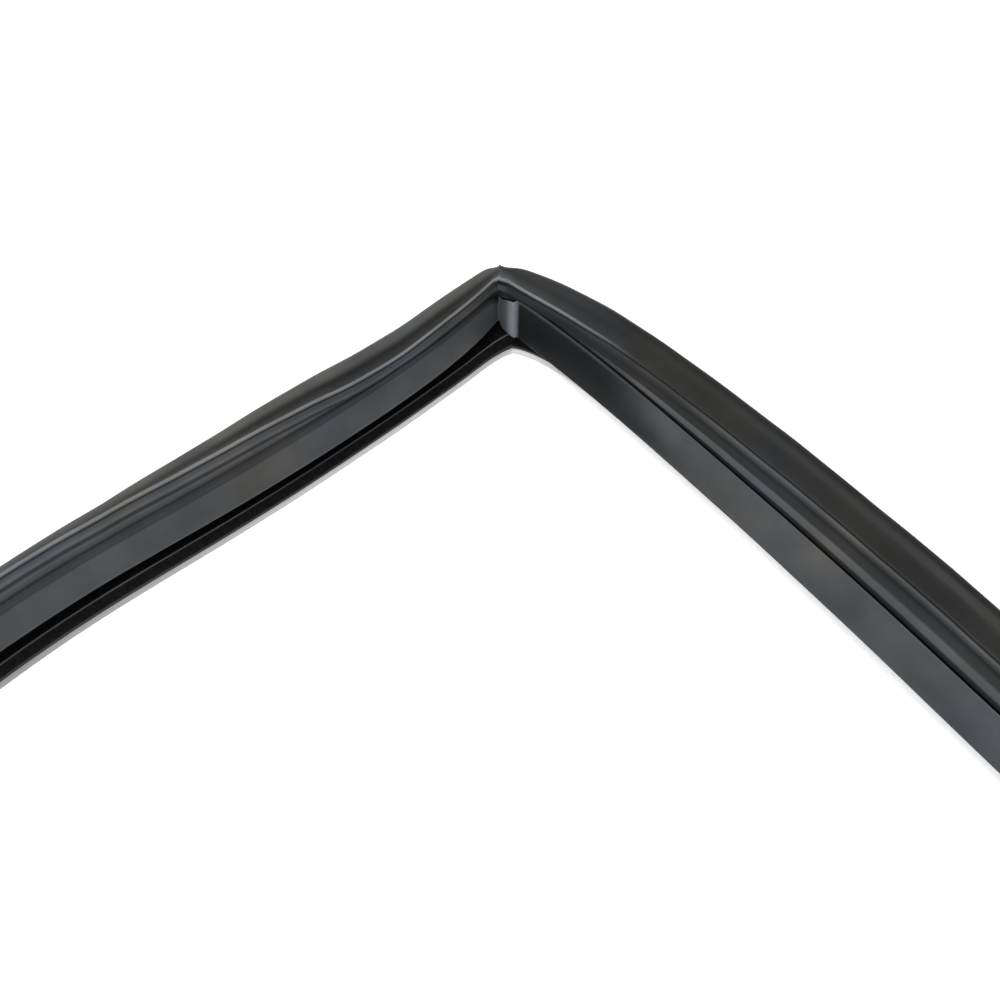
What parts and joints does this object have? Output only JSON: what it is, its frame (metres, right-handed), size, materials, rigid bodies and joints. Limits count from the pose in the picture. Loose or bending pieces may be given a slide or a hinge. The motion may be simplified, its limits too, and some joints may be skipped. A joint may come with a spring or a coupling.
{
  "type": "refrigerator door gasket",
  "caption": "Refrigerator door gasket: soft black hollow profile welded into a rectangular loop, with magnet pocket, bellows, plain flap and a light-grey base flange.",
  "frame": {"origin": "middle of the loop's footprint, on the underside of the base flange", "axes": "+Z points from the base flange up to the magnet pocket, +Y runs along the long sides and +X along the short sides. The corner of the picture is the one at +X +Y."},
  "size_m": [0.5866, 0.7044, 0.0299],
  "materials": {
    "soft_black": "soft semi-matte PVC",
    "hard_grey": "smooth satin",
    "magnet_brown": "matte, magnet powder in rubber"
  },
  "bodies": {
    "root": {"seal_body": "soft_black", "base_flange": "hard_grey", "magnet_strip_right": "magnet_brown", "magnet_strip_bottom": "magnet_brown", "magnet_strip_left": "magnet_brown", "magnet_strip_top": "magnet_brown"}
  },
  "joints": []
}
